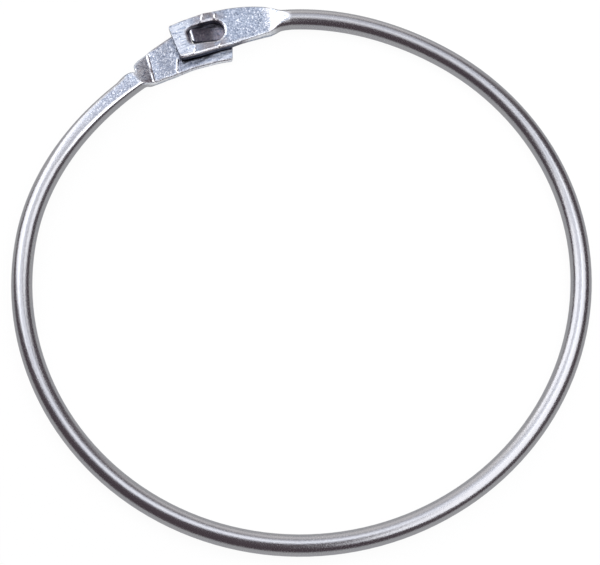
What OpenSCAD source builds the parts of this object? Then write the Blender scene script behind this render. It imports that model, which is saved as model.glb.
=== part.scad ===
// Bib ring: one length of sprung steel wire bent round into a ring. Both ends are forged flat
// and lap over each other. The upper leaf has a slot, and a tongue pressed up from the lower
// leaf stands in it and holds the ring shut. The ring lies flat, with its underside at z = 0
// and its middle on the Z axis.

/* [Ring] */
// Inside diameter of the ring
inside_d = 152.4; // [120:0.2:220]
// Diameter of the wire
wire_d = 6; // [5.5:0.1:6.5]
// Place of the clasp round the ring, in degrees from +X
clasp_angle = 111.4; // [0:0.2:359]
// Length over which the two leaves lap, along the ring
overlap = 16.8; // [16:0.2:20]
// Air left between the two leaves
leaf_gap = 0.3; // [0.2:0.05:0.6]

/* [Catch leaf, below] */
// Length of the catch leaf, from its end to its shoulder
catch_len = 32; // [30:0.2:38]
// Full width of the catch leaf
catch_w = 14; // [13:0.1:15]
// How far the catch arm runs inside the true circle
catch_set = 2.1; // [0.5:0.1:3]
// Length of the arm over which it leaves the true circle
catch_run = 60; // [50:1:80]
// Angle of the end cut and the press marks away from square
catch_skew = 15; // [0:1:20]
// Length of the ramp that runs down from the arm to the catch leaf
catch_ramp_len = 5; // [4:0.1:7]
// Length of the long flat pressed on top of the arm
flat_len = 42; // [20:1:48]
// Depth of the long flat where it meets the shoulder
flat_depth = 0.8; // [0.2:0.05:1.2]
// Radius along the edges of the catch leaf
catch_edge_r = 0.9; // [0.3:0.05:0.95]

/* [Slot leaf, above] */
// Length of the slot leaf, from its end to where the wire is still round
slot_leaf_len = 35; // [32:0.2:40]
// Full width of the slot leaf
slot_leaf_w = 12.4; // [12:0.1:14]
// How far the slot arm runs outside the true circle
slot_set = 0.95; // [0:0.05:2]
// Length of the arm over which it leaves the true circle
slot_run = 46; // [40:1:70]
// Angle of the end cut, the slot and the tongue away from square
slot_skew = 6; // [0:1:10]
// Length of the ramp that runs down from the round wire to the slot leaf
slot_ramp_len = 6; // [4:0.1:8]
// Lift of the end pad above the rest of the leaf
pad_lift = 0.5; // [0:0.05:1]
// Radius along the edges of the slot leaf
slot_edge_r = 0.5; // [0.2:0.05:0.9]

/* [Slot and tongue] */
// Length of the slot
slot_len = 11.1; // [9.5:0.1:12]
// Width of the slot at its round end
slot_w = 6.9; // [6:0.1:7.4]
// Width of the slot at its square end, where the tongue bears
slot_end_w = 6; // [5:0.1:6.4]
// Corner radius of the slot's square end
slot_corner_r = 1.9; // [0.6:0.1:2.4]
// Metal left between the slot and the end of its leaf
slot_inset = 4.2; // [3:0.1:5]
// Room on each side of the tongue in the square end of the slot
tongue_side_play = 0.65; // [0.3:0.05:1]
// Room between the tip of the tongue and the end of the slot
tongue_end_play = 0.8; // [0.3:0.1:2]
// Length of the tongue, seen from above
tongue_len = 7.9; // [7:0.1:8.5]
// Height of the tip of the tongue above the ground
tongue_tip_z = 5; // [4.4:0.05:5.6]
// Thickness of the tongue at its tip
tongue_tip_t = 1.4; // [0.8:0.1:1.8]
// Width of the cut round the tongue
lance_gap = 0.3; // [0.2:0.05:0.5]

/* [Hidden] */

wire_r = wire_d / 2;
ring_r = inside_d / 2 + wire_r;
deg_per_mm = 180 / (PI * ring_r);
arm_r = wire_r - 0.02;     // the arms' flat-sided wire stands just inside the arc that it runs into
plan_corner_r = 0.6;       // end corners of the leaves, seen from above
tongue_corner_r = 1.2;     // and of the tongue's tip
bend_share = 0.3;          // share of the tongue's length that bends up from its leaf

// Steps on each quarter of a section, and how many of them round a leaf's edge
quarter_steps = 8;
edge_steps = 5;
wire_pitch = 5;            // spacing of the sections along the plain wire,
leaf_pitch = 1.5;          // along a leaf
step_pitch = 0.5;          // and along a shoulder or a ramp
arc_grip = 0.3;            // how far the round arc runs into each arm

// Outline of each leaf: share of its length, then how much of the spread from the wire's
// width to the leaf's full width lies on the inner side and on the outer side of the arm.
// At its shoulder the catch arm is pinched in, and it swells a little just before that
catch_form = [
    [0.00, 0.49, 0.56], [0.13, 0.42, 0.61], [0.28, 0.36, 0.69], [0.42, 0.29, 0.71],
    [0.54, 0.26, 0.62], [0.63, 0.23, 0.55], [0.71, 0.18, 0.48], [0.79, 0.13, 0.43],
    [0.86, 0.07, 0.36], [0.92, 0.02, 0.27], [0.945, 0.00, 0.21], [0.96, 0.00, 0.14],
    [0.975, 0.00, -0.08], [1.01, 0.00, 0.01], [1.05, 0.00, 0.06], [1.09, 0.00, 0.06],
    [1.18, 0.00, 0.00]
];
slot_form = [
    [0.00, 0.28, 0.54], [0.09, 0.39, 0.53], [0.18, 0.46, 0.52], [0.32, 0.48, 0.51],
    [0.46, 0.51, 0.47], [0.55, 0.46, 0.42], [0.64, 0.40, 0.35], [0.71, 0.34, 0.28],
    [0.78, 0.27, 0.20], [0.84, 0.20, 0.12], [0.91, 0.06, 0.01], [1.00, 0.00, 0.00]
];

function mix(a, b, t) = a + (b - a) * t;
function limit(t) = max(0, min(1, t));
function ease(t) = let (s = limit(t)) s * s * (3 - 2 * s);

// Value of a column at x, on a smooth curve through the rows of a table
function row_at(rows, x, i = 0) =
    i >= len(rows) - 2 || x < rows[i + 1][0] ? i : row_at(rows, x, i + 1);
function slope_at(rows, i, col) =
    let (a = rows[max(i - 1, 0)], b = rows[min(i + 1, len(rows) - 1)])
    (b[col] - a[col]) / (b[0] - a[0]);
function curve_at(rows, x, col) =
    let (
        i = row_at(rows, x),
        a = rows[i],
        b = rows[i + 1],
        h = b[0] - a[0],
        t = limit((x - a[0]) / h),
        lead = t * (1 - t) ^ 2 * slope_at(rows, i, col),
        trail = t ^ 2 * (t - 1) * slope_at(rows, i + 1, col)
    )
    mix(a[col], b[col], ease(t)) + h * (lead + trail);

// Forging keeps the area of the wire's section, so a wider section is a thinner one
function forged_t(w, square) = PI * wire_r ^ 2 / (w * mix(PI / 4, 1, square));
catch_t = forged_t(catch_w, 1);
catch_foot_z = forged_t(mix(wire_d, catch_w, 0.55), 1);    // top of the leaf at the foot of its ramp
slot_leaf_z = catch_t + leaf_gap;
slot_leaf_top = slot_leaf_z + forged_t(slot_leaf_w, 1);
lap_end = overlap + catch_w / 2 * tan(catch_skew);         // far corner of the catch leaf, on the slot arm

// How much the rounded corners narrow each side of a leaf at u from its end
function corner_cut(u) =
    u >= plan_corner_r ? 0 : plan_corner_r - sqrt(plan_corner_r ^ 2 - (plan_corner_r - u) ^ 2);

// Section of each arm at u, its distance from the arm's end along the ring: [offset of its
// middle, inner and outer half widths, floor, roof, squareness, edge radius, skew]
function catch_section(u) =
    let (
        share = u / catch_len,
        spread = catch_w - wire_d,
        inner = arm_r + spread * curve_at(catch_form, share, 1),
        outer = arm_r + spread * curve_at(catch_form, share, 2),
        square = ease((1 - share) / 0.14),
        thick = forged_t((inner + outer) * cos(catch_skew * square), square),
        ramp = mix(wire_d - flat_depth, catch_foot_z, (catch_len - u) / catch_ramp_len),
        flat_top = wire_d - flat_depth * limit(1 - (u - catch_len) / flat_len)
    )
    [
        -catch_set * (1 - ease((u - catch_len) / catch_run)),
        inner - corner_cut(u), outer - corner_cut(u),
        0, u < catch_len - catch_ramp_len ? min(thick, catch_foot_z) : min(ramp, flat_top),
        square, catch_edge_r, catch_skew * square
    ];
function slot_section(u) =
    let (
        share = u / slot_leaf_len,
        spread = slot_leaf_w - wire_d,
        inner = arm_r + spread * curve_at(slot_form, share, 1),
        outer = arm_r + spread * curve_at(slot_form, share, 2),
        square = ease((0.93 - share) / 0.16),
        roof = mix(wire_d, slot_leaf_top, limit((slot_leaf_len - u) / slot_ramp_len)),
        free_floor = max(0, min(slot_leaf_z, roof - forged_t(inner + outer, square)))
    )
    [
        slot_set * (1 - ease((u - slot_leaf_len) / slot_run)),
        inner - corner_cut(u), outer - corner_cut(u),
        mix(slot_leaf_z, free_floor, ease((u - lap_end) / slot_ramp_len)),
        roof, square, slot_edge_r, -slot_skew * square
    ];

// Rise of the end pad, between two creases beside the slot; the one nearer the end is slanted
pad_slant = 0.5;
function pad_rise(u, x) =
    let (from = slot_inset + 0.25 * slot_len + pad_slant * x, to = slot_inset + 0.8 * slot_len)
    pad_lift * (1 - ease((u - from) / (to - from)));

// Quarter of a section, from the edge of its flat to its widest point, as [across, up]. With
// no squareness it is the round wire, cut off where the floor or roof is nearer than its radius
function quarter(half, rise, square, edge) =
    let (
        start = acos(min(1, rise / arm_r)),
        bead = min(edge, rise * 0.95)
    )
    [
        for (j = [0:quarter_steps])
            let (
                turn = mix(max(start, 45 / quarter_steps), 90, j / quarter_steps),
                corner = 90 * min(1, j / edge_steps),
                side = max(0, j - edge_steps) / (quarter_steps - edge_steps),
                round_x = half * sin(turn),
                round_z = arm_r * cos(turn),
                square_x = half - bead * (1 - sin(corner)),
                square_z = (rise - bead) * (1 - side) + bead * cos(corner)
            )
            [mix(round_x, square_x, square), mix(min(rise, round_z), square_z, square)]
    ];

// Closed outline of a section, clockwise from the outer edge of its top
function outline(s) =
    let (
        mid = mix(wire_r, (s[3] + s[4]) / 2, s[5]),
        up_out = quarter(s[2], s[4] - mid, s[5], s[6]),
        down_out = quarter(s[2], mid - s[3], s[5], s[6]),
        up_in = quarter(s[1], s[4] - mid, s[5], s[6]),
        down_in = quarter(s[1], mid - s[3], s[5], s[6]),
        last = quarter_steps
    )
    [
        for (j = [0:last]) [up_out[j][0], mid + up_out[j][1]],
        for (j = [last - 1:-1:0]) [down_out[j][0], mid - down_out[j][1]],
        for (j = [0:last]) [-down_in[j][0], mid - down_in[j][1]],
        for (j = [last - 1:-1:0]) [-up_in[j][0], mid + up_in[j][1]]
    ];

// A section set in its place on the arm, x across it and z up
function place(u, section, lift) =
    let (
        turn = (u - overlap / 2) * deg_per_mm,
        out = ring_r + section[0],
        across = turn - section[7]
    )
    [
        for (p = outline(section))
            [
                out * cos(turn) + p[0] * cos(across),
                out * sin(turn) + p[0] * sin(across),
                p[1] + (lift ? pad_rise(u, p[0]) : 0)
            ]
    ];

// Solid through a row of closed sections
module loft(rings) {
    n = len(rings[0]);
    last = len(rings) - 1;
    polyhedron(
        points = [for (ring = rings) each ring],
        faces = [
            [for (j = [0:n - 1]) j],
            for (i = [0:last - 1], j = [0:n - 1])
                let (k = (j + 1) % n) [i * n + j, (i + 1) * n + j, (i + 1) * n + k, i * n + k],
            [for (j = [n - 1:-1:0]) last * n + j]
        ]
    );
}

// Distances from an arm's end at which its sections stand: leaf, ramp, shoulder, plain wire
function spaced(from, to, pitch) =
    let (n = ceil((to - from) / pitch)) [for (i = [0:n - 1]) mix(from, to, i / n)];
function stations(ramp_foot, ramp_top, step_end, arm_end) = [
    for (k = [0, 0.08, 0.3, 0.6]) k * plan_corner_r,
    each spaced(plan_corner_r, ramp_foot, leaf_pitch),
    each spaced(ramp_foot, ramp_top, step_pitch),
    each spaced(ramp_top, step_end, step_pitch),
    each spaced(step_end, arm_end, wire_pitch),
    arm_end
];

// Frame of the slot and the tongue: middle of the slot, y along it towards its square end
module at_slot() {
    translate([ring_r + slot_set + 0.2, overlap / 2 - slot_inset - slot_len / 2, 0])
        rotate([0, 0, -slot_skew])
            children();
}

// The slot as punched: round at one end, square with round corners at the other
module slot_outline() {
    big = slot_w / 2;
    small = slot_corner_r;
    far = [slot_end_w / 2 - small, slot_len / 2 - small];
    near = [0, big - slot_len / 2];
    span = far - near;
    lean = atan2(span[1], span[0]) - acos((big - small) / norm(span));
    touch = [cos(lean), sin(lean)];
    for (side = [0, 1])
        mirror([side, 0]) {
            translate(far)
                circle(small, $fn = 48);
            polygon([[0, near[1]], near + big * touch, far + small * touch, far + [0, small],
                [0, slot_len / 2]]);
        }
    translate(near)
        circle(big, $fn = 64);
}

tongue_w = slot_end_w - 2 * tongue_side_play;
tip_y = slot_len / 2 - tongue_end_play;
root_y = tip_y - tongue_len;

// Flat strip with two round corners at its far end
module strip_outline(w, from, to, r) {
    translate([-w / 2, from])
        square([w, to - from - r]);
    translate([r - w / 2, to - 2 * r])
        square([w - 2 * r, 2 * r]);
    for (side = [-1, 1])
        translate([side * (w / 2 - r), to - r])
            circle(r, $fn = 32);
}

// How far the tongue has bent up at a share t of its length
function bent(t) = (t < bend_share ? t ^ 2 / (2 * bend_share) : t - bend_share / 2) / (1 - bend_share / 2);

// The tongue: bent up from the leaf it was cut from, and thinned towards its tip
module tongue() {
    shares = [0, 0.05, 0.1, 0.15, 0.2, 0.25, bend_share, 1];
    grip = 1;
    profile = [
        [root_y - grip, catch_t * 0.3],
        for (t = shares) [mix(root_y, tip_y, t), mix(0, tongue_tip_z - tongue_tip_t, bent(t))],
        for (i = [len(shares) - 1:-1:0])
            let (t = shares[i]) [mix(root_y, tip_y, t), mix(catch_t, tongue_tip_z, bent(t))],
        [root_y - grip, catch_t * 0.7]
    ];
    intersection() {
        rotate([90, 0, 90])
            linear_extrude(height = tongue_w + 2, center = true)
                polygon(profile);
        linear_extrude(height = 2 * wire_d)
            strip_outline(tongue_w, root_y - 2 * grip, tip_y, tongue_corner_r);
    }
}

// The arm that passes below: flat pressed on top, shoulder, leaf, and its tongue
module catch_arm() {
    shoulder_end = catch_len * catch_form[len(catch_form) - 1][0];
    difference() {
        loft([
            for (u = stations(catch_len - catch_ramp_len, catch_len, shoulder_end, catch_len + catch_run))
                place(u, catch_section(u), false)
        ]);
        at_slot()
            translate([0, 0, -1])
                linear_extrude(height = catch_t + 2)
                    strip_outline(tongue_w + 2 * lance_gap, root_y, tip_y, tongue_corner_r + lance_gap);
    }
    at_slot()
        tongue();
}

// The arm that passes above: ramp, leaf with its slot, and the lifted end pad
module slot_arm() {
    ramp_foot = slot_leaf_len - 1.4 * slot_ramp_len;
    difference() {
        mirror([0, 1, 0])
            loft([
                for (u = stations(ramp_foot, slot_leaf_len, slot_leaf_len + 1, slot_leaf_len + slot_run))
                    place(u, slot_section(u), true)
            ]);
        at_slot()
            translate([0, 0, slot_leaf_z - leaf_gap / 2])
                linear_extrude(height = wire_d)
                    slot_outline();
    }
}

// The true circle of round wire between the two arms
module round_wire() {
    from = (catch_len + catch_run - overlap / 2 - arc_grip) * deg_per_mm;
    to = 360 - (slot_leaf_len + slot_run - overlap / 2 - arc_grip) * deg_per_mm;
    rotate([0, 0, from])
        rotate_extrude(angle = to - from, $fn = 180)
            translate([ring_r, wire_r])
                circle(wire_r, $fn = 48);
}

module wire_ring() {
    color([0.76, 0.77, 0.8])
        rotate([0, 0, clasp_angle]) {
            round_wire();
            catch_arm();
            slot_arm();
        }
}

wire_ring();
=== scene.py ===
"""Bib ring: one length of plated spring wire, its two ends forged flat and lapped into a clasp."""
from math import acos, atan2, ceil, cos, hypot, pi, radians, sin, sqrt, tan

import bmesh
import bpy
from mathutils import Matrix, Vector, noise

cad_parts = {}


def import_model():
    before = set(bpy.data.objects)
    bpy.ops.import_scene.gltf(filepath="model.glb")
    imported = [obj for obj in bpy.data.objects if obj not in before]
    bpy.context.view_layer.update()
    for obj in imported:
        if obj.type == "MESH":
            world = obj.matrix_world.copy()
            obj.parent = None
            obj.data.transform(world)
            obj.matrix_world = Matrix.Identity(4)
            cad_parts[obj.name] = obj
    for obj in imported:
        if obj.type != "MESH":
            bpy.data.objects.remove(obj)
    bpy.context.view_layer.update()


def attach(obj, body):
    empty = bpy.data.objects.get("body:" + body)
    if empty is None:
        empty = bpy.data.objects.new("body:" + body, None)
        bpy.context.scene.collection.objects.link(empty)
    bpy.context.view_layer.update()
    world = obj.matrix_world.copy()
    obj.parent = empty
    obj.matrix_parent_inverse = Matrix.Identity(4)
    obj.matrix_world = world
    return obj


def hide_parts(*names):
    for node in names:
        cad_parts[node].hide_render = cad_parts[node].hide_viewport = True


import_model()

MM = 0.001
TINY = 1e-6

# Sizes in millimetres and degrees, the same as the solid's
INSIDE_D = 152.4
WIRE_D = 6.0
CLASP_ANGLE = 111.4
OVERLAP = 16.8
LEAF_GAP = 0.3

# The catch arm, which passes below
CATCH_LEN, CATCH_W = 32.0, 14.0
CATCH_SET, CATCH_RUN = 2.1, 60.0       # how far the arm leaves the true circle, and over what length
CATCH_SKEW = 15.0
CATCH_RAMP = 5.0
FLAT_LEN, FLAT_DEPTH = 42.0, 0.8       # long flat pressed on top of the arm
CATCH_EDGE_R = 0.9
CATCH_FOOT_SPREAD = 0.55               # share of its full spread that the leaf has at the ramp's foot

# The slot arm, which passes above
SLOT_LEAF_LEN, SLOT_LEAF_W = 35.0, 12.4
SLOT_SET, SLOT_RUN = 0.95, 46.0
SLOT_SKEW = 6.0
SLOT_RAMP = 6.0
PAD_LIFT = 0.5
SLOT_EDGE_R = 0.5

# The slot, and the tongue that stands in it
SLOT_LEN, SLOT_W, SLOT_END_W, SLOT_CORNER_R, SLOT_INSET = 11.1, 6.9, 6.0, 1.9, 4.2
SLOT_SHIFT = 0.2                       # how far its middle lies outside the middle of its leaf
TONGUE_SIDE_PLAY, TONGUE_END_PLAY, TONGUE_LEN = 0.65, 0.8, 7.9
TONGUE_TIP_Z, TONGUE_TIP_T, TONGUE_CORNER_R, LANCE_GAP = 5.0, 1.4, 1.2, 0.3
BEND_SHARE = 0.3                       # share of the tongue's length that bends up from its leaf
END_CORNER_R = 0.6

WIRE_R = WIRE_D / 2
RING_R = INSIDE_D / 2 + WIRE_R
RAD_PER_MM = 1 / RING_R

# Facets on a quarter of the section: across the flat, round the edge, down the side
ACROSS, ROUND_EDGE, DOWN_SIDE = 32, 8, 6
QUARTER = ACROSS + ROUND_EDGE + DOWN_SIDE

# Outline of each leaf: share of its length, then the share of the spread on each side
CATCH_FORM = [
    (0.00, 0.49, 0.56), (0.13, 0.42, 0.61), (0.28, 0.36, 0.69), (0.42, 0.29, 0.71),
    (0.54, 0.26, 0.62), (0.63, 0.23, 0.55), (0.71, 0.18, 0.48), (0.79, 0.13, 0.43),
    (0.86, 0.07, 0.36), (0.92, 0.02, 0.27), (0.945, 0.00, 0.21), (0.96, 0.00, 0.14),
    (0.975, 0.00, -0.08), (1.01, 0.00, 0.01), (1.05, 0.00, 0.06), (1.09, 0.00, 0.06),
    (1.18, 0.00, 0.00),
]
SLOT_FORM = [
    (0.00, 0.28, 0.54), (0.09, 0.39, 0.53), (0.18, 0.46, 0.52), (0.32, 0.48, 0.51),
    (0.46, 0.51, 0.47), (0.55, 0.46, 0.42), (0.64, 0.40, 0.35), (0.71, 0.34, 0.28),
    (0.78, 0.27, 0.20), (0.84, 0.20, 0.12), (0.91, 0.06, 0.01), (1.00, 0.00, 0.00),
]
# Share of each leaf's length at which the wire is round again, and over how much it turns flat
CATCH_ROUND_AT, CATCH_ROUNDING = 1.0, 0.14
SLOT_ROUND_AT, SLOT_ROUNDING = 0.93, 0.16


# ---------------------------------------------------------------- curves and sections

def mix(a, b, t):
    return a + (b - a) * t


def limit(t):
    return max(0.0, min(1.0, t))


def ease(t):
    t = limit(t)
    return t * t * (3 - 2 * t)


def before(x, stop, over):
    """1 well before the stop, easing down to 0 there."""
    return ease((stop - x) / over)


def after(x, start, over):
    """0 up to the start, easing up to 1 past it."""
    return ease((x - start) / over)


def soft_min(a, b, reach):
    """The smaller of two heights, with the corner between them rounded over a reach."""
    if reach <= 0:
        return min(a, b)
    share = limit(0.5 + (b - a) / (2 * reach))
    return mix(b, a, share) - reach * share * (1 - share)


def curve_at(rows, x, col):
    """Value of a column at x, on a smooth curve through the rows of a table."""
    i = 0
    while i < len(rows) - 2 and x >= rows[i + 1][0]:
        i += 1

    def slope(k):
        a, b = rows[max(k - 1, 0)], rows[min(k + 1, len(rows) - 1)]
        return (b[col] - a[col]) / (b[0] - a[0])

    a, b = rows[i], rows[i + 1]
    h = b[0] - a[0]
    t = limit((x - a[0]) / h)
    lead, trail = t * (1 - t) ** 2 * slope(i), t * t * (t - 1) * slope(i + 1)
    return mix(a[col], b[col], ease(t)) + h * (lead + trail)


def forged_t(w, square):
    """Forging keeps the area of the wire's section, so a wider section is a thinner one."""
    return pi * WIRE_R ** 2 / (w * mix(pi / 4, 1, square))


CATCH_T = forged_t(CATCH_W, 1)
CATCH_FOOT_Z = forged_t(mix(WIRE_D, CATCH_W, CATCH_FOOT_SPREAD), 1)
SLOT_LEAF_Z = CATCH_T + LEAF_GAP
SLOT_LEAF_TOP = SLOT_LEAF_Z + forged_t(SLOT_LEAF_W, 1)
LAP_END = OVERLAP + CATCH_W / 2 * tan(radians(CATCH_SKEW))
RAMP_FOOT = CATCH_LEN - CATCH_RAMP
FLAT_END = CATCH_LEN + FLAT_LEN
CATCH_ARM_END = CATCH_LEN + CATCH_RUN
SLOT_ARM_END = SLOT_LEAF_LEN + SLOT_RUN

RAMP_SOFT = 0.3                        # corner at the top of the catch ramp, rounded by the press
FLAT_SOFT = 0.5                        # and the corners along the long flat
RAMP_BOW = 1.45                        # the slot ramp leaves the wire gently, so its flat is a V
SOFT_MOST = 1.6                        # widest soft corner, as a share of how deep the flat is cut
BEAD_MOST = 0.95                       # largest edge radius, as a share of the half height
EDGE_CROWD = 1.7                       # how the points round an edge crowd towards its flat


def corner_cut(u):
    """How much the rounded corners narrow each side of a leaf at u from its end."""
    if u >= END_CORNER_R:
        return 0.0
    return END_CORNER_R - sqrt(END_CORNER_R ** 2 - (END_CORNER_R - u) ** 2)


class Section:
    """Section of an arm at u millimetres from its end: where it stands and how it is forged."""

    def __init__(self, offset, inner, outer, floor, roof, square, edge_r, skew, soft=0.0):
        self.offset, self.inner, self.outer = offset, inner, outer
        self.floor, self.roof = floor, roof
        self.square, self.edge_r, self.skew, self.soft = square, edge_r, skew, soft


def catch_section(u):
    share, spread = u / CATCH_LEN, CATCH_W - WIRE_D
    inner = WIRE_R + spread * curve_at(CATCH_FORM, share, 1)
    outer = WIRE_R + spread * curve_at(CATCH_FORM, share, 2)
    square = before(share, CATCH_ROUND_AT, CATCH_ROUNDING)
    thick = forged_t((inner + outer) * cos(radians(CATCH_SKEW * square)), square)
    ramp = mix(WIRE_D - FLAT_DEPTH, CATCH_FOOT_Z, (CATCH_LEN - u) / CATCH_RAMP)
    flat_top = WIRE_D - FLAT_DEPTH * limit(1 - (u - CATCH_LEN) / FLAT_LEN)
    roof = min(thick, CATCH_FOOT_Z) if u < RAMP_FOOT else soft_min(ramp, flat_top, RAMP_SOFT)
    offset = -CATCH_SET * (1 - after(u, CATCH_LEN, CATCH_RUN))
    return Section(offset, inner - corner_cut(u), outer - corner_cut(u), 0.0, roof,
                   square, CATCH_EDGE_R, CATCH_SKEW * square, FLAT_SOFT)


def slot_section(u):
    share, spread = u / SLOT_LEAF_LEN, SLOT_LEAF_W - WIRE_D
    inner = WIRE_R + spread * curve_at(SLOT_FORM, share, 1)
    outer = WIRE_R + spread * curve_at(SLOT_FORM, share, 2)
    square = before(share, SLOT_ROUND_AT, SLOT_ROUNDING)
    roof = mix(WIRE_D, SLOT_LEAF_TOP, limit((SLOT_LEAF_LEN - u) / SLOT_RAMP) ** RAMP_BOW)
    free_floor = max(0.0, min(SLOT_LEAF_Z, roof - forged_t(inner + outer, square)))
    floor = mix(SLOT_LEAF_Z, free_floor, after(u, LAP_END, SLOT_RAMP))
    offset = SLOT_SET * (1 - after(u, SLOT_LEAF_LEN, SLOT_RUN))
    return Section(offset, inner - corner_cut(u), outer - corner_cut(u), floor, roof,
                   square, SLOT_EDGE_R, -SLOT_SKEW * square)


def quarter(half, rise, square, edge_r, soft, plain):
    """Quarter of a section as (across, up). plain goes to 1 where it has to meet the round arc."""
    start = acos(min(1.0, rise / WIRE_R))
    first = max(start, pi / 2 * ACROSS / QUARTER * plain)
    second = mix(first, pi / 2, ROUND_EDGE / (ROUND_EDGE + DOWN_SIDE))
    bead = min(edge_r, rise * BEAD_MOST)
    soft = min(soft, SOFT_MOST * (WIRE_R - rise))
    points = []
    for j in range(QUARTER + 1):
        if j <= ACROSS:
            f = j / ACROSS
            turn = first * f
            flat = ((half - bead) * f, rise)
        elif j <= ACROSS + ROUND_EDGE:
            f = (j - ACROSS) / ROUND_EDGE
            turn = mix(first, second, f ** mix(EDGE_CROWD, 1, plain))
            flat = (half - bead * (1 - sin(pi / 2 * f)), rise - bead + bead * cos(pi / 2 * f))
        else:
            f = (j - ACROSS - ROUND_EDGE) / DOWN_SIDE
            turn = mix(second, pi / 2, f)
            flat = (half, (rise - bead) * (1 - f))
        height = soft_min(rise, WIRE_R * cos(turn), soft)
        reach = rise * tan(turn) / WIRE_R if turn < start else sin(turn)
        rounded = (half * reach, height)
        points.append((mix(rounded[0], flat[0], square), mix(rounded[1], flat[1], square)))
    return points


def outline(s, plain):
    """Closed outline of a section: top outwards, under and back."""
    mid = mix(WIRE_R, (s.floor + s.roof) / 2, s.square)
    form = (s.square, s.edge_r, s.soft, plain)
    up_out, down_out = quarter(s.outer, s.roof - mid, *form), quarter(s.outer, mid - s.floor, *form)
    up_in, down_in = quarter(s.inner, s.roof - mid, *form), quarter(s.inner, mid - s.floor, *form)
    return (
        [(x, mid + z) for x, z in up_out]
        + [(x, mid - z) for x, z in down_out[-2::-1]]
        + [(-x, mid - z) for x, z in down_in[1:]]
        + [(-x, mid + z) for x, z in up_in[-2:0:-1]]
    )


# ---------------------------------------------------------------- the slot

BIG_ARC_STEPS, SMALL_ARC_STEPS = 24, 12
SLOT_MID = (RING_R + SLOT_SET + SLOT_SHIFT, OVERLAP / 2 - SLOT_INSET - SLOT_LEN / 2)


def slot_loop():
    """The slot as punched: round at one end, square with round corners at the other."""
    big, small = SLOT_W / 2, SLOT_CORNER_R
    far = (SLOT_END_W / 2 - small, SLOT_LEN / 2 - small)
    near_y = big - SLOT_LEN / 2
    span = (far[0], far[1] - near_y)
    lean = atan2(span[1], span[0]) - acos((big - small) / hypot(*span))
    side = []
    for i in range(BIG_ARC_STEPS + 1):
        a = mix(-pi / 2, lean, i / BIG_ARC_STEPS)
        side.append((big * cos(a), near_y + big * sin(a)))
    for i in range(SMALL_ARC_STEPS + 1):
        a = mix(lean, pi / 2, i / SMALL_ARC_STEPS)
        side.append((far[0] + small * cos(a), far[1] + small * sin(a)))
    return side + [(-x, y) for x, y in reversed(side[1:])]


def edge_lines(loop):
    """The line along each edge of a loop: its outward direction, and its distance that way."""
    lines = []
    for (ax, ay), (bx, by) in zip(loop, loop[1:] + loop[:1]):
        nx, ny = by - ay, ax - bx
        length = hypot(nx, ny)
        if length > TINY:
            lines.append((nx / length, ny / length, (nx * ax + ny * ay) / length))
    return lines


SLOT_EDGES = edge_lines(slot_loop())


def slot_distance(x, y):
    """How far outside the slot's outline a point of the slot's frame lies."""
    return max(nx * x + ny * y - c for nx, ny, c in SLOT_EDGES)


def to_slot(x, y):
    """A point of the clasp's plan, in the frame of the slot."""
    dx, dy, a = x - SLOT_MID[0], y - SLOT_MID[1], radians(SLOT_SKEW)
    return dx * cos(a) - dy * sin(a), dx * sin(a) + dy * cos(a)


def from_slot(x, y):
    """A point of the slot's frame, in the plan of the clasp."""
    a = radians(SLOT_SKEW)
    return SLOT_MID[0] + x * cos(a) + y * sin(a), SLOT_MID[1] - x * sin(a) + y * cos(a)


# ---------------------------------------------------------------- marks of the press

RIM_WIDTH, RIM_DROP = 0.8, 0.36        # edge of the slot drawn in by the punch
LIP_INSET, LIP_WIDTH, LIP_RISE = 0.2, 0.45, 0.13    # burr along the inner edge of the slot leaf
LIP_STOP, LIP_FADE = 24, 4

# Ridges left where the dies met. A crease crosses its leaf at a place and with a lean, and its
# ridge has a rise and the widths over which it climbs and falls
PRESS_RISE = 0.2
FOOT_LEAN, FOOT_CLIMB, CATCH_FALL = 0.097, 0.7, 0.45
BITE_RISE, BITE_CLIMB = 0.31, 0.56     # the deeper bite on the inner half of the catch ramp
SHORT_AT, SHORT_LEAN, SHORT_CLIMB = 17.94, 0.279, 0.65
PAD_LOW, PAD_HIGH = SLOT_INSET + 0.25 * SLOT_LEN, SLOT_INSET + 0.8 * SLOT_LEN
PAD_SLANT = 0.5
LOW_SHARE, LOW_CLIMB = 0.95, 0.6       # share of the press's full rise beside the slot
HIGH_SHARE, HIGH_CLIMB = 0.8, 0.5
PAD_FALL = 0.4
SINK_REACH = 1.5                       # how far up the catch ramp its set-back foot is felt

# Dents of the dies: depth, length along the wire, width across it, and where their noise is read;
# finer ones lie over them, this share as deep and this many times as close
FINE_SHARE, FINE_SCALE = 0.5, 2.3
CATCH_DENTS = (0.075, 4.2, 1.7, 3.1)
FLAT_DENTS = (0.02, 1.8, 1.8, 7.7)
SLOT_DENTS = (0.04, 2.6, 1.9, 11.3)

# How far each crease strays from its line, and where the noise for that is read
STRAY_LENGTH = 1.6
FOOT_STRAY, SHORT_STRAY = (0.12, 5.3), (0.08, 9.1)
LOW_STRAY, HIGH_STRAY = (0.3, 1.9), (0.3, 6.4)


def ridge(distance, rise, left, right):
    """Ridge across the leaf: it climbs over the left width and falls over the right one."""
    if distance < 0:
        return rise * limit(1 + distance / left)
    return rise * limit(1 - distance / right)


def dents(u, x, depth, length, width, seed):
    """Rise and fall of the shallow dents that the dies leave."""
    p = Vector((u / length, x / width, seed))
    return depth * (noise.noise(p) + FINE_SHARE * noise.noise(p * FINE_SCALE))


def stray(x, reach, seed):
    """How far a mark strays from a straight line across the leaf."""
    return reach * noise.noise(Vector((x / STRAY_LENGTH, seed, 0)))


def foot_crease(x):
    """Where the die bit at the foot of the catch ramp, right across the leaf."""
    return RAMP_FOOT - FOOT_LEAN * x + stray(x, *FOOT_STRAY)


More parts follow.
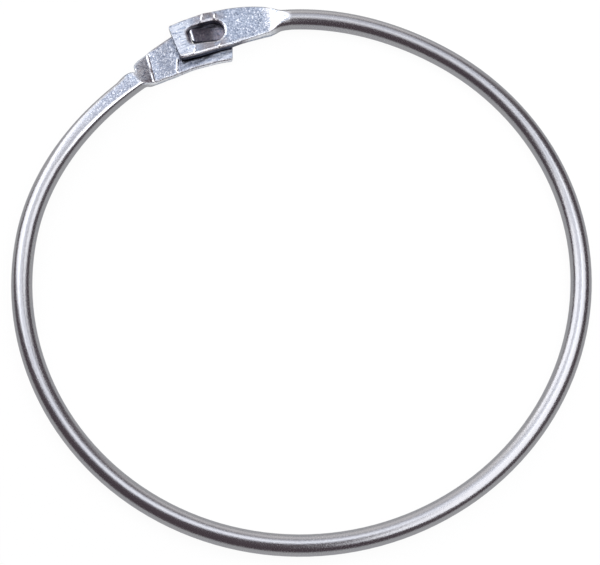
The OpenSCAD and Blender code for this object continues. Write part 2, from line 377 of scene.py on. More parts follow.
def short_crease(x):
    """The second bite of the die, across the inner half of the catch leaf."""
    return SHORT_AT - SHORT_LEAN * x + stray(x, *SHORT_STRAY)


def pad_lift(u, x):
    """How much the end pad steps up, between the two creases beside the slot."""
    low = PAD_LOW + PAD_SLANT * x
    return PAD_LIFT * (1 - after(u, low, PAD_HIGH - low))


def ramp_sink(u, foot):
    """How much lower the catch ramp lies where its foot is set back from the plain section's."""
    slope = (WIRE_D - FLAT_DEPTH - CATCH_FOOT_Z) / CATCH_RAMP
    if foot < RAMP_FOOT:
        return 0.0
    return slope * limit(min(u, foot) - RAMP_FOOT) * limit(1 - (u - foot) / SINK_REACH)


def catch_marks(u, x, s, on_top, place):
    """Rise of the catch leaf's upper skin over its plain section."""
    if not on_top:
        return 0.0
    forged = before(u, CATCH_LEN + 1, 3)
    pressed = before(u, FLAT_END, 30) * (1 - forged)
    rise = dents(u, x, *CATCH_DENTS) * forged + dents(u, x, *FLAT_DENTS) * pressed
    foot, short = foot_crease(x), short_crease(x)
    rise -= ramp_sink(u, foot)
    inner_half = before(x, 0, 1.5)
    bite, climb = mix(PRESS_RISE, BITE_RISE, inner_half), mix(FOOT_CLIMB, BITE_CLIMB, inner_half)
    rise += ridge(foot - u, bite, climb, CATCH_FALL) * before(x, s.outer - 0.4, 1.2)
    reach = before(x, -0.1, 0.5) * after(x, 0.4 - s.inner, 0.6)
    return rise + ridge(short - u, PRESS_RISE, SHORT_CLIMB, CATCH_FALL) * reach


def slot_marks(u, x, s, on_top, place):
    """Rise of the slot leaf's skin over its plain section."""
    rise = pad_lift(u, x) + dents(u, x, *SLOT_DENTS) * before(u, SLOT_LEAF_LEN - 2, 4)
    if not on_top:
        return rise
    uneven = limit(0.55 + 1.3 * noise.noise(Vector((x / 1.1, u / 3, 2.7))))
    low, high = PAD_LOW + PAD_SLANT * x - stray(x, *LOW_STRAY), PAD_HIGH - stray(x, *HIGH_STRAY)
    rise += ridge(u - low, PRESS_RISE * LOW_SHARE * uneven, LOW_CLIMB, PAD_FALL)
    rise += ridge(u - high, PRESS_RISE * HIGH_SHARE * uneven, HIGH_CLIMB, PAD_FALL)
    lip = (s.inner + x - LIP_INSET) / LIP_WIDTH
    rise += LIP_RISE * limit(1 - abs(lip - 1)) * before(u, LIP_STOP, LIP_FADE)
    gap = slot_distance(*to_slot(*place))
    if gap < RIM_WIDTH:
        rise -= RIM_DROP * (1 - max(gap, 0.0) / RIM_WIDTH) ** 2
    return rise


# ---------------------------------------------------------------- pieces and cuts

def placed(name, data):
    """A new object of the scene, with its mesh, lamp or camera."""
    piece = bpy.data.objects.new(name, data)
    bpy.context.scene.collection.objects.link(piece)
    return piece


def loft(name, rings):
    """Closed solid through a row of sections."""
    mesh = bpy.data.meshes.new(name)
    n, rows = len(rings[0]), len(rings)
    points = [tuple(c * MM for c in p) for ring in rings for p in ring]
    faces = [tuple(range(n))]
    for i in range(rows - 1):
        for j in range(n):
            k = (j + 1) % n
            faces.append((i * n + j, (i + 1) * n + j, (i + 1) * n + k, i * n + k))
    faces.append(tuple((rows - 1) * n + j for j in reversed(range(n))))
    mesh.from_pydata(points, [], faces)
    bm = bmesh.new()
    bm.from_mesh(mesh)
    bmesh.ops.recalc_face_normals(bm, faces=bm.faces)
    bm.to_mesh(mesh)
    bm.free()
    return placed(name, mesh)


def prism(name, loop, z0, z1):
    """Upright solid on an outline of the slot's frame."""
    return loft(name, [[(*from_slot(x, y), z) for x, y in loop] for z in (z0, z1)])


def settled(piece):
    """The piece with its modifiers made part of its mesh."""
    view = bpy.context.evaluated_depsgraph_get()
    mesh = bpy.data.meshes.new_from_object(piece.evaluated_get(view))
    piece.modifiers.clear()
    piece.data = mesh
    return piece


def cut(piece, tool, operation="DIFFERENCE"):
    """The piece without the tool, or joined to it; the tool is used up."""
    change = piece.modifiers.new("cut", "BOOLEAN")
    change.operation, change.object, change.solver = operation, tool, "MANIFOLD"
    settled(piece)
    bpy.data.objects.remove(tool)
    return piece


# ---------------------------------------------------------------- the tongue

TONGUE_W = SLOT_END_W - 2 * TONGUE_SIDE_PLAY
TIP_Y = SLOT_LEN / 2 - TONGUE_END_PLAY
ROOT_Y = TIP_Y - TONGUE_LEN
TIP_START = TIP_Y - TONGUE_CORNER_R
GRIP, GRIP_THIN = 1, 0.3               # how far its root runs into the leaf, and how much thinner
TONGUE_EDGE = 0.28                     # worn edge round its top,
TONGUE_CROWN = 0.12                    # the rise of its middle,
TIP_DROOP, TIP_DROOP_LEN = 0.35, 0.9   # and the worn end of its tip
STRIP_CORNER_STEPS, TIP_STEPS, TONGUE_STEPS = 8, 10, 16


def spaced(start, stop, pitch):
    n = max(1, ceil((stop - start) / pitch - 1e-9))
    return [mix(start, stop, i / n) for i in range(n)]


def strip_loop(width, start, stop, r):
    """Strip with two round corners at its far end."""
    side = [(width / 2, start)]
    for i in range(STRIP_CORNER_STEPS + 1):
        a = pi / 2 * i / STRIP_CORNER_STEPS
        side.append((width / 2 - r + r * cos(a), stop - r + r * sin(a)))
    return side + [(-x, y) for x, y in reversed(side)]


def bent(t):
    """How far the tongue has bent up at a share t of its length."""
    rise = t * t / (2 * BEND_SHARE) if t < BEND_SHARE else t - BEND_SHARE / 2
    return rise / (1 - BEND_SHARE / 2)


def tongue():
    """Bent up from the leaf that it was cut from, thinned and worn towards its tip."""
    rings = []
    tip = [TIP_Y - TONGUE_CORNER_R * (1 - sin(pi / 2 * i / TIP_STEPS)) for i in range(TIP_STEPS + 1)]
    for y in [ROOT_Y - GRIP] + spaced(ROOT_Y, TIP_START, 0.3) + tip:
        t = limit((y - ROOT_Y) / TONGUE_LEN)
        thinner = GRIP_THIN if y < ROOT_Y else 0
        low = mix(0, TONGUE_TIP_Z - TONGUE_TIP_T, bent(t)) + thinner
        high = mix(CATCH_T, TONGUE_TIP_Z, bent(t)) - thinner
        high -= TIP_DROOP * after(y, TIP_Y - TIP_DROOP_LEN, TIP_DROOP_LEN)
        over = max(0.0, y - TIP_START) / TONGUE_CORNER_R
        half = TONGUE_W / 2 - TONGUE_CORNER_R * (1 - sqrt(max(0.0, 1 - over * over)))
        ring = []
        for i in range(TONGUE_STEPS + 1):
            x = mix(half, -half, i / TONGUE_STEPS)
            worn_off = TONGUE_EDGE * (1 - limit((half - abs(x)) / TONGUE_EDGE)) ** 2
            ring.append((x, high - worn_off + TONGUE_CROWN * (1 - (x / (TONGUE_W / 2)) ** 2)))
        ring += [(-half, low), (half, low)]
        rings.append([(*from_slot(x, y), z) for x, z in ring])
    return loft("tongue", rings)


# ---------------------------------------------------------------- the two arms

END_SHARES = (0, 0.03, 0.12, 0.3, 0.6)    # sections round the end corners, as shares of their radius

# Sections from there on: where each stretch starts, and how far apart they stand on it
CATCH_STRETCHES = [
    (END_CORNER_R, 0.45), (17.0, 0.14), (20.4, 0.4), (25.2, 0.12), (28.2, 0.25),
    (29.8, 0.14), (33.0, 0.3), (38.0, 0.7), (44.0, 2.0), (CATCH_ARM_END, 0),
]
SLOT_STRETCHES = [
    (END_CORNER_R, 0.35), (3.2, 0.16), (16.4, 0.4), (SLOT_LEAF_LEN - SLOT_RAMP - 1, 0.25),
    (SLOT_LEAF_LEN + 1, 2.0), (SLOT_ARM_END, 0),
]
CATCH_TAIL = FLAT_END - 10             # where the catch arm's facets start to even out for the arc
WINDOW_FLOOR, WINDOW_ROOF = -1, CATCH_T + 1.5
SLOT_CUT_FLOOR, SLOT_CUT_ROOF = 1.0, WIRE_D + 2
MARK_FADE, MARK_FADE_LEAST = 0.4, 0.1  # how deep the marks reach down a side: share, and least depth


def stations(stretches):
    """Where the sections of an arm stand, from its end to the arc."""
    stops = [END_CORNER_R * share for share in END_SHARES]
    for (start, pitch), (stop, _) in zip(stretches, stretches[1:]):
        stops += spaced(start, stop, pitch)
    return stops + [stretches[-1][0]]


def arm_points(u, section, marks, mirror, plain):
    """One section of an arm, set in its place round the ring."""
    s = section(u)
    turn = (u - OVERLAP / 2) * RAD_PER_MM
    across = turn - radians(s.skew)
    out = RING_R + s.offset
    mid = (s.floor + s.roof) / 2
    ring = []
    for x, z in outline(s, plain):
        px, py = out * cos(turn) + x * cos(across), out * sin(turn) + x * sin(across)
        py = -py if mirror else py
        if marks:
            on_top = z > mid
            reach = max(MARK_FADE * (s.roof - s.floor), MARK_FADE_LEAST)
            fade = ease(abs(z - mid) / reach) if on_top else 1
            z += marks(u, x, s, on_top, (px, py)) * fade
        ring.append((px, py, z))
    return ring


def catch_arm():
    """The arm that passes below: long flat, ramp, leaf, and its tongue."""
    arm = loft("catch_arm", [
        arm_points(u, catch_section, catch_marks if u < FLAT_END else None, False,
                   limit((u - CATCH_TAIL) / (CATCH_ARM_END - CATCH_TAIL)))
        for u in stations(CATCH_STRETCHES)
    ])
    window = strip_loop(TONGUE_W + 2 * LANCE_GAP, ROOT_Y, TIP_Y, TONGUE_CORNER_R + LANCE_GAP)
    cut(arm, prism("window", window, WINDOW_FLOOR, WINDOW_ROOF))
    return cut(arm, tongue(), "UNION")


def slot_arm():
    """The arm that passes above: ramp, leaf with its slot, and the lifted end pad."""
    arm = loft("slot_arm", [
        arm_points(u, slot_section, slot_marks if u < SLOT_LEAF_LEN else None, True,
                   after(u, SLOT_LEAF_LEN, SLOT_RUN))
        for u in stations(SLOT_STRETCHES)
    ])
    return cut(arm, prism("slot", slot_loop(), SLOT_CUT_FLOOR, SLOT_CUT_ROOF))


# ---------------------------------------------------------------- the round wire

ARC_SECTIONS = 110


def sweep_tree(finish):
    """Round wire swept along an arc of the ring, and the identifiers of its named inputs."""
    tree = bpy.data.node_groups.new("wire_sweep", "GeometryNodeTree")
    tree.interface.new_socket("Geometry", in_out="INPUT", socket_type="NodeSocketGeometry")
    ids = {}
    for name, kind, value in (
            ("Ring radius", "NodeSocketFloat", RING_R * MM), ("Wire radius", "NodeSocketFloat", WIRE_R * MM),
            ("Start angle", "NodeSocketFloat", 0.0), ("Sweep angle", "NodeSocketFloat", pi),
            ("Sections", "NodeSocketInt", ARC_SECTIONS), ("Facets", "NodeSocketInt", 4 * QUARTER)):
        socket = tree.interface.new_socket(name, in_out="INPUT", socket_type=kind)
        socket.default_value = value
        ids[name] = socket.identifier
    tree.interface.new_socket("Geometry", in_out="OUTPUT", socket_type="NodeSocketGeometry")

    add, link = tree.nodes.new, tree.links.new
    given = add("NodeGroupInput").outputs
    path = add("GeometryNodeCurveArc")
    profile = add("GeometryNodeCurvePrimitiveCircle")
    sweep = add("GeometryNodeCurveToMesh")
    height = add("ShaderNodeCombineXYZ")
    raised = add("GeometryNodeTransform")
    plain = add("GeometryNodeRealizeInstances")
    plated = add("GeometryNodeSetMaterial")
    done = add("NodeGroupOutput")
    link(given["Sections"], path.inputs["Resolution"])
    link(given["Ring radius"], path.inputs["Radius"])
    link(given["Start angle"], path.inputs["Start Angle"])
    link(given["Sweep angle"], path.inputs["Sweep Angle"])
    link(given["Facets"], profile.inputs["Resolution"])
    link(given["Wire radius"], profile.inputs["Radius"])
    link(path.outputs["Curve"], sweep.inputs["Curve"])
    link(profile.outputs["Curve"], sweep.inputs["Profile Curve"])
    link(given["Wire radius"], height.inputs["Z"])
    link(height.outputs["Vector"], raised.inputs["Translation"])
    link(sweep.outputs["Mesh"], raised.inputs["Geometry"])
    link(raised.outputs["Geometry"], plain.inputs["Geometry"])
    link(plain.outputs["Geometry"], plated.inputs["Geometry"])
    plated.inputs["Material"].default_value = finish
    link(plated.outputs["Geometry"], done.inputs[0])
    return tree, ids


def arc_angle(u):
    """Angle round the ring, from the middle of the clasp, at u from an arm's end."""
    return (u - OVERLAP / 2) * RAD_PER_MM


def round_arc(finish):
    """The true circle of round wire between the two arms."""
    start, stop = arc_angle(CATCH_ARM_END), 2 * pi - arc_angle(SLOT_ARM_END)
    piece = placed("round_arc", bpy.data.meshes.new("round_arc"))
    sweep = piece.modifiers.new("sweep", "NODES")
    sweep.node_group, ids = sweep_tree(finish)
    sweep[ids["Start angle"]], sweep[ids["Sweep angle"]] = start, stop - start
    return settled(piece)


# ---------------------------------------------------------------- wear, painted glints, painted light and painted shade

# Notes on each point, in order: forged skin; wear with painted glints; painted shade, with a dull tone on
# the pressed faces; scuffs with a painted highlight; painted light; painted brown shade.
NOTES = ("forged", "worn", "grime", "scuffed", "pale", "stained")
EDGE_WEAR = 0.7                        # how far in from an edge the wear reaches,
HANDLED, SHELTERED = 0.8, 0.15         # and how strong it is on an inner top edge and on the others
IN_SLOT, SLOT_WALL = 0.6, 0.02         # how near the slot a point of the catch or slot leaf is in it
TIP_LESS_SHADE, TIP_BRIGHT = 0.7, 0.5       # how far back from its tip the tongue has less painted shade, and a painted highlight
RIM_GLINT_LEAST, RIM_GLINT_MOST = 0.35, 0.95    # polish and painted glint on the rim of the slot, at its square end and its round one
# Ridges proud of the pad get polish and a painted glint, from this height and over this much more
RIDGE_GLINT_FROM, RIDGE_GLINT_OVER = 0.05, 0.08
CREASE_GLINT, FOOT_GLINT_INNER, SHORT_GLINT = 0.6, 0.9, 0.5    # reach of the polish and painted glint on each crease

# Where the finish changes along the arms, in millimetres from their ends
LAPPED_TO = 13                         # lapped by the leaf above up to here, where light is painted on
SCUFFED_FROM = 17
RAMP_FROM, RAMP_TO = 26.6, 33.5
# The last of these is where the painted highlight on the flat's inner corner fades out.
FLAT_FROM, FLAT_SKIN_TO, CORNER_GLINT_TO = 33, FLAT_END - 14, 70
SKIN_PAST_OUTER, SKIN_PAST_INNER = 3.6, 0.6    # how far the forged skin runs past the shoulder
# middle of the painted brown shade beside the slot
BESIDE_SLOT_AT = 11.0
DULL = 0.17


class Spot:
    """A point of an arm: u along it, across it, up, and in the slot's frame, with its section."""

    def __init__(self, u, across, z, place, s):
        self.u, self.across, self.z, self.place, self.s = u, across, z, place, s
        self.on_top = z > (s.floor + s.roof) / 2
        self.drop = s.roof - z
        self.from_outer = s.outer - across
        self.from_slot = slot_distance(*place)
        half = s.outer if across > 0 else s.inner
        self.edge = limit(1 - (half - abs(across)) / EDGE_WEAR) * s.square

    def at_tip(self, reach):
        """Whether the spot is on the raised tip of the tongue."""
        return self.z > TONGUE_TIP_Z - reach and self.place[1] > TIP_Y - reach


def catch_painted_shade(p):
    """Painted shade on the lower leaf: in the slot, and close under the edges of the leaf that laps it."""
    if p.u > OVERLAP + 2.5 or p.z < 0.5:
        return 0.0
    if p.from_slot < IN_SLOT:
        return 0.3 if p.at_tip(TIP_LESS_SHADE) else 0.8
    over = slot_section(max(OVERLAP - p.u, 0.0))
    from_middle = p.across + p.s.offset - over.offset
    past_end = p.u - OVERLAP + radians(SLOT_SKEW) * from_middle
    if past_end > 0:
        return before(past_end, 0.4, 0.4)
    return after(from_middle + over.inner, -0.4, 0.4)


def slot_painted_shade(p):
    """Painted shade on the upper leaf: down the walls of its slot, and down its edges over the gap."""
    if p.from_slot < SLOT_WALL:
        return 0.7 + 0.3 * after(p.drop, 0, 1.2)
    depth = p.drop + pad_lift(p.u, p.across)
    return after(depth, 0.1, 0.35) * before(p.u, LAP_END + 5, 5)


def crease_polish_and_glint(distance, reach):
    """Polish and painted glint on a crease, full at its crest and gone at the reach."""
    return limit(1.6 * (1 - abs(distance) / reach))


def edge_wear(p):
    """Wear on an edge, which hands rub most on the inside of the ring."""
    return p.edge * (HANDLED if p.on_top and p.across < 0 else SHELTERED)


def slot_wear_and_glint(p):
    """Wear on the upper arm's edges, and polish with a painted glint on the rim of its slot and on its
    ridges.
    """
    rub_and_glint = edge_wear(p)
    if not p.on_top:
        return rub_and_glint
    # polish and a painted glint round the rim of the slot, strongest at its round end
    rim = mix(RIM_GLINT_LEAST, RIM_GLINT_MOST, before(p.place[1], -1.5, 2.5))
    rub_and_glint = max(rub_and_glint, rim * limit(1 - p.from_slot / RIM_WIDTH))
    # and on the ridges that stand proud of the pad
    if p.u < SLOT_LEAF_LEN:
        proud = -p.drop - pad_lift(p.u, p.across)
        rub_and_glint = max(rub_and_glint, limit((proud - RIDGE_GLINT_FROM) / RIDGE_GLINT_OVER))
    return rub_and_glint


def catch_wear_and_glint(p):
    """Wear on the lower arm's edges, and polish with painted glints on its creases, its tongue's tip and its
    flat's inner corner.
    """
    rub_and_glint, foot = edge_wear(p), foot_crease(p.across)
    # painted highlight on the tip of the tongue, none elsewhere in the slot
    if p.on_top and p.from_slot < IN_SLOT and p.u < OVERLAP:
        rub_and_glint = 1.0 if p.at_tip(TIP_BRIGHT) else 0.0
    elif p.on_top and p.drop < 0.5:
        # polish with painted glints on the creases
        reach = FOOT_GLINT_INNER if p.across < 0 and p.u > foot else CREASE_GLINT
        rub_and_glint = max(rub_and_glint, crease_polish_and_glint(p.u - foot, reach))
        if p.across < -0.3:
            rub_and_glint = max(rub_and_glint, crease_polish_and_glint(p.u - short_crease(p.across), SHORT_GLINT))
    # painted highlight along the inner corner of the long flat
    if p.u > 28 and p.across < 0:
        corner = after(p.drop, 0.05, 0.05) * before(p.drop, 0.36, 0.1) * before(p.u, CORNER_GLINT_TO, 20)
        rub_and_glint = max(rub_and_glint, 0.8 * corner)
    return rub_and_glint


def slot_arm_notes(p):
    """How the upper arm is forged, worn and scuffed at a spot, and the glints, highlight, light and shade
    painted on it there.
    """
    below = after(p.drop, 0.1, 0.3)
    # the tilted pad beside the slot gets painted brown shade
    beside_slot = ease(1.4 - abs(p.u - BESIDE_SLOT_AT) / 4.5) * after(abs(p.across), 2.6, 0.8)
    return {
        "forged": before(p.u, SLOT_LEAF_LEN + SKIN_PAST_INNER, 1.6) * (1 - below * after(p.u, 28.5, 3)),
        "worn": slot_wear_and_glint(p),
        # painted shade down the walls of the slot and the edges over the gap
        "grime": slot_painted_shade(p),
        # scuffs, with a painted highlight in brushed streaks on the V of the slot ramp
        "scuffed": p.on_top * after(p.u, 20, 10),
        # painted light on the end pad
        "pale": p.on_top * before(p.u, 7.5, 4),
        # painted brown shade beside the slot and along the outer edge
        "stained": max(p.on_top * beside_slot, 0.8 * before(p.from_outer, 0.45, 0.3)),
    }


def catch_arm_notes(p):
    """The same for the lower arm, whose long flat is pressed as well."""
    on_flat = before(p.drop, 0.09, 0.06) * before(p.u, FLAT_SKIN_TO, 20)
    forged = before(p.u, CATCH_LEN + (SKIN_PAST_OUTER if p.across > 0 else SKIN_PAST_INNER), 1.6)
    if p.across < 0:
        skin_depth = mix(0.15, 0.9, before(p.u, RAMP_TO, 2.5))
        forged *= 1 - after(p.drop, skin_depth, 0.3) * after(p.u, 26, 3)
    lapped = before(p.u, LAPPED_TO, 6)
    on_ramp = after(p.u, RAMP_FROM, 1) * before(p.u, RAMP_TO, 1)
    dull = p.on_top * (1 - lapped) * before(p.u, RAMP_FOOT, 1) + on_flat * after(p.u, FLAT_FROM, 2)
    return {
        "forged": max(forged, 0.9 * on_flat),
        "worn": catch_wear_and_glint(p),
        # painted shade, and a dull tone on the pressed faces
        "grime": max(catch_painted_shade(p), DULL * dull),
        # scuffs, with a painted highlight in brushed streaks
        "scuffed": p.on_top * max(0.66 * after(p.u, SCUFFED_FROM, 2) * (1 - on_ramp), 0.78 * on_ramp),
        # painted light on the lapped strip and the ramp, faint over the rest of the top
        "pale": p.on_top * max(0.15, 0.8 * lapped, on_ramp),
        # painted brown shade along the outer edge
        "stained": 0.8 * before(p.from_outer, 1.4, 1.0) * before(p.u, 26, 2),
    }


def arm_finder(section, notes, mirror):
    """How to look up a point of an arm. The leaves lie askew, so its section is sought askew too."""
    def find(x, y, z):
        u = (-1 if mirror else 1) * atan2(y, x) / RAD_PER_MM + OVERLAP / 2
        straight = section(max(u, 0.0))
        radial = hypot(x, y) - RING_R
        across = (radial - straight.offset) / cos(radians(straight.skew))
        along = 2 * pi * RING_R + OVERLAP - u if mirror else u
        u += across * sin(radians(straight.skew))
        return (along, radial, z), notes(Spot(u, across, z, to_slot(x, y), section(max(u, 0.0))))
    return find


def find_on_arc(x, y, z):
    """The drawn wire is neither forged nor worn."""
    along = atan2(y, x) % (2 * pi) / RAD_PER_MM + OVERLAP / 2
    return (along, hypot(x, y) - RING_R, z), dict.fromkeys(NOTES, 0.0)


def note_points(piece, find):
    """Store on each point where it lies along the wire, and its notes."""
    mesh = piece.data
    mesh.attributes.new("lay", "FLOAT_VECTOR", "POINT")
    for name in NOTES:
        mesh.attributes.new(name, "FLOAT", "POINT")
    for i, v in enumerate(mesh.vertices):
        lay, notes = find(*(c / MM for c in v.co))
        mesh.attributes["lay"].data[i].vector = lay
        for name in NOTES:
            mesh.attributes[name].data[i].value = notes[name]


# ---------------------------------------------------------------- one wire from the three

WELD = 0.08                            # farthest that two points of a rim are apart before the weld
SHARP_ANGLE = 38


def add_open_arm(whole, arm, turn):
    """Add an arm to the whole, without the end face at which the round arc takes over."""
    part = bmesh.new()
    part.from_mesh(arm.data)
    facing = Vector((-sin(turn), cos(turn), 0)) * (1 if turn > 0 else -1)
    centre = Vector((RING_R * cos(turn), RING_R * sin(turn), WIRE_R)) * MM
    caps = [f for f in part.faces if f.normal.dot(facing) > 0.99
            and (f.calc_center_median() - centre).length < WIRE_R * MM
            and abs((f.calc_center_median() - centre).dot(facing)) < 0.01 * MM]
    bmesh.ops.delete(part, geom=caps, context="FACES_ONLY")
    part.to_mesh(arm.data)
    part.free()
    whole.from_mesh(arm.data)


def one_wire(finish):
    """The two arms and the arc, welded into one closed skin."""
    catch, slot, arc = catch_arm(), slot_arm(), round_arc(finish)
    note_points(catch, arm_finder(catch_section, catch_arm_notes, False))
    note_points(slot, arm_finder(slot_section, slot_arm_notes, True))
    note_points(arc, find_on_arc)

    whole = bmesh.new()
    add_open_arm(whole, catch, arc_angle(CATCH_ARM_END))
    add_open_arm(whole, slot, -arc_angle(SLOT_ARM_END))
    whole.from_mesh(arc.data)
    rims = list({v for e in whole.edges if e.is_boundary for v in e.verts})
    bmesh.ops.remove_doubles(whole, verts=rims, dist=WELD * MM)
    bmesh.ops.recalc_face_normals(whole, faces=whole.faces)
    bmesh.ops.rotate(whole, verts=whole.verts, cent=(0, 0, 0),
                     matrix=Matrix.Rotation(radians(CLASP_ANGLE), 3, "Z"))
    mesh = bpy.data.meshes.new("bib_ring")
    whole.to_mesh(mesh)
    whole.free()
    mesh.materials.clear()
    mesh.materials.append(finish)
    for face in mesh.polygons:
        face.use_smooth = True
        face.material_index = 0
    mesh.set_sharp_from_angle(angle=radians(SHARP_ANGLE))
    for part in (catch, slot, arc):
        bpy.data.objects.remove(part)
    return placed("bib_ring", mesh)


# ---------------------------------------------------------------- finish

class Nodes:
    """The node tree of a material or a world, filled one line at a time."""

    def __init__(self, owner):
        owner.use_nodes = True
        self.tree = owner.node_tree
        self.tree.nodes.clear()

    def node(self, kind, inputs=None, **settings):
        made = self.tree.nodes.new(kind)
        for key, value in settings.items():
            setattr(made, key, value)
        for key, value in (inputs or {}).items():
            self.feed(made.inputs[key], value)
        return made

    def feed(self, socket, value):
        """Link a socket to another one, or set its value."""
        if isinstance(value, bpy.types.NodeSocket):
            self.tree.links.new(value, socket)
        else:
            socket.default_value = value

    def point_value(self, name, output="Fac"):
        return self.node("ShaderNodeAttribute", attribute_name=name).outputs[output]

    def noise(self, where, scale, detail=2.0, rough=0.5, stretch=(1, 1, 1), turn=0.0):
        """Noise of a scale in patterns a millimetre, drawn out along the wire where asked."""
        if stretch != (1, 1, 1) or turn:
            where = self.node("ShaderNodeMapping", {
                "Vector": where, "Scale": stretch, "Rotation": (0, 0, radians(turn))}).outputs[0]
        return self.node("ShaderNodeTexNoise", {
            "Vector": where, "Scale": scale, "Detail": detail, "Roughness": rough}).outputs["Fac"]

    def span(self, value, low, high, to_low=0.0, to_high=1.0):
        """A value between two ends, moved to lie between two others."""
        return self.node("ShaderNodeMapRange", {
            "Value": value, "From Min": low, "From Max": high,
            "To Min": to_low, "To Max": to_high}).outputs[0]

    def math(self, kind, a, b):
        return self.node("ShaderNodeMath", {0: a, 1: b}, operation=kind).outputs[0]

    def times(self, a, b):
        return self.math("MULTIPLY", a, b)

    def between(self, share, a, b):
        """Number a, turned into number b by a share."""
        return self.node("ShaderNodeMix", {0: share, 2: a, 3: b}).outputs[0]

    def blend(self, share, a, b):
        """Colour a, turned into colour b by a share."""
        made = self.node("ShaderNodeMix", data_type="RGBA")
        for name, kind, value in (("Factor", "VALUE", share), ("A", "RGBA", a), ("B", "RGBA", b)):
            socket = [s for s in made.inputs if s.name == name and s.type == kind][0]
            self.feed(socket, value)
        return [s for s in made.outputs if s.type == "RGBA"][0]

    def bump(self, height, strength, depth_mm, under=None):
        inputs = {"Strength": strength, "Distance": depth_mm * MM, "Height": height}
        if under:
            inputs["Normal"] = under
        return self.node("ShaderNodeBump", inputs).outputs[0]


ZINC_DARK, ZINC_PALE = (0.278, 0.281, 0.303, 1), (0.325, 0.323, 0.33, 1)
SKIN_DARK, SKIN_PALE = (0.10, 0.125, 0.18, 1), (0.34, 0.385, 0.465, 1)
SKIN_CLOUD, SKIN_FLECK = (0.225, 0.258, 0.33, 1), (0.44, 0.48, 0.55, 1)
# Painted light in streaks, dark scuffs, pale specks
LIT_STREAK, SCUFFED, SPECKED = (0.45, 0.475, 0.525, 1), (0.12, 0.125, 0.15, 1), (0.78, 0.81, 0.86, 1)
# Painted highlight in brushed streaks, painted brown shade, and the bright colour of worn edges and painted
# glints
BRUSHED_HIGHLIGHT, BROWN_SHADE, RUBBED_AND_GLINT = (0.66, 0.67, 0.70, 1), (0.20, 0.18, 0.185, 1), (0.80, 0.81, 0.83, 1)
# Painted shade: dark, maroon and deepest; the first two also give the pressed faces a dull tone
DULL_SHADE_DARK, DULL_SHADE_MAROON, DEEP_SHADE = (0.05, 0.048, 0.075, 1), (0.115, 0.08, 0.098, 1), (0.028, 0.032, 0.052, 1)
GLANCE_TINT = (0.76, 0.76, 0.78, 1)


def forged_skin(m, lay, pits, patches, scuffed, pale, stained):
    """Colour of the forged ends: pitted, speckled and scuffed, with painted light in streaks, a painted
    highlight in brushed streaks and painted brown shade.
    """
    grain = m.noise(lay, 1.9, 3.0, 0.7, stretch=(1, 0.8, 1), turn=20)
    flecks = m.noise(lay, 3.4, 2.0, 0.6, stretch=(1, 0.55, 1), turn=12)
    strokes = m.noise(lay, 1.1, 3.0, 0.65, stretch=(0.3, 1.7, 1), turn=-12)
    wipes = m.noise(lay, 1.2, 3.0, 0.6, stretch=(0.35, 1.2, 1), turn=8)

    speck_level = m.math("SUBTRACT", 0.70, m.times(patches, 0.24))
    speck_level = m.math("SUBTRACT", speck_level, m.times(scuffed, 0.05))
    speck_level = m.math("ADD", speck_level, m.times(pale, 0.02))
    specks = m.span(grain, speck_level, m.math("ADD", speck_level, 0.07))
    scuffs = m.span(strokes, 0.58, 0.68)
    brushed_highlight = m.math("ADD", scuffed, m.times(m.math("SUBTRACT", strokes, 0.5), 1.6))
    brown_shade_patches = m.times(stained, m.span(patches, 0.40, 0.50, 0.4, 1.0))

    skin = m.blend(m.span(pits, 0.37, 0.63), SKIN_DARK, SKIN_PALE)
    skin = m.blend(m.span(patches, 0.42, 0.62, 0.0, 0.85), skin, SKIN_CLOUD)
    skin = m.blend(m.span(flecks, 0.5, 0.6, 0.0, 0.6), skin, SKIN_FLECK)
    # painted light in streaks
    skin = m.blend(m.times(pale, m.span(wipes, 0.43, 0.51)), skin, LIT_STREAK)
    skin = m.blend(m.times(scuffs, 0.5), skin, SCUFFED)
    skin = m.blend(m.times(specks, 0.85), skin, SPECKED)
    # painted highlight in brushed streaks, strongest on the V of the slot ramp
    skin = m.blend(m.span(brushed_highlight, 0.88, 0.98), skin, BRUSHED_HIGHLIGHT)
    # painted brown shade
    return m.blend(m.times(brown_shade_patches, 0.8), skin, BROWN_SHADE)


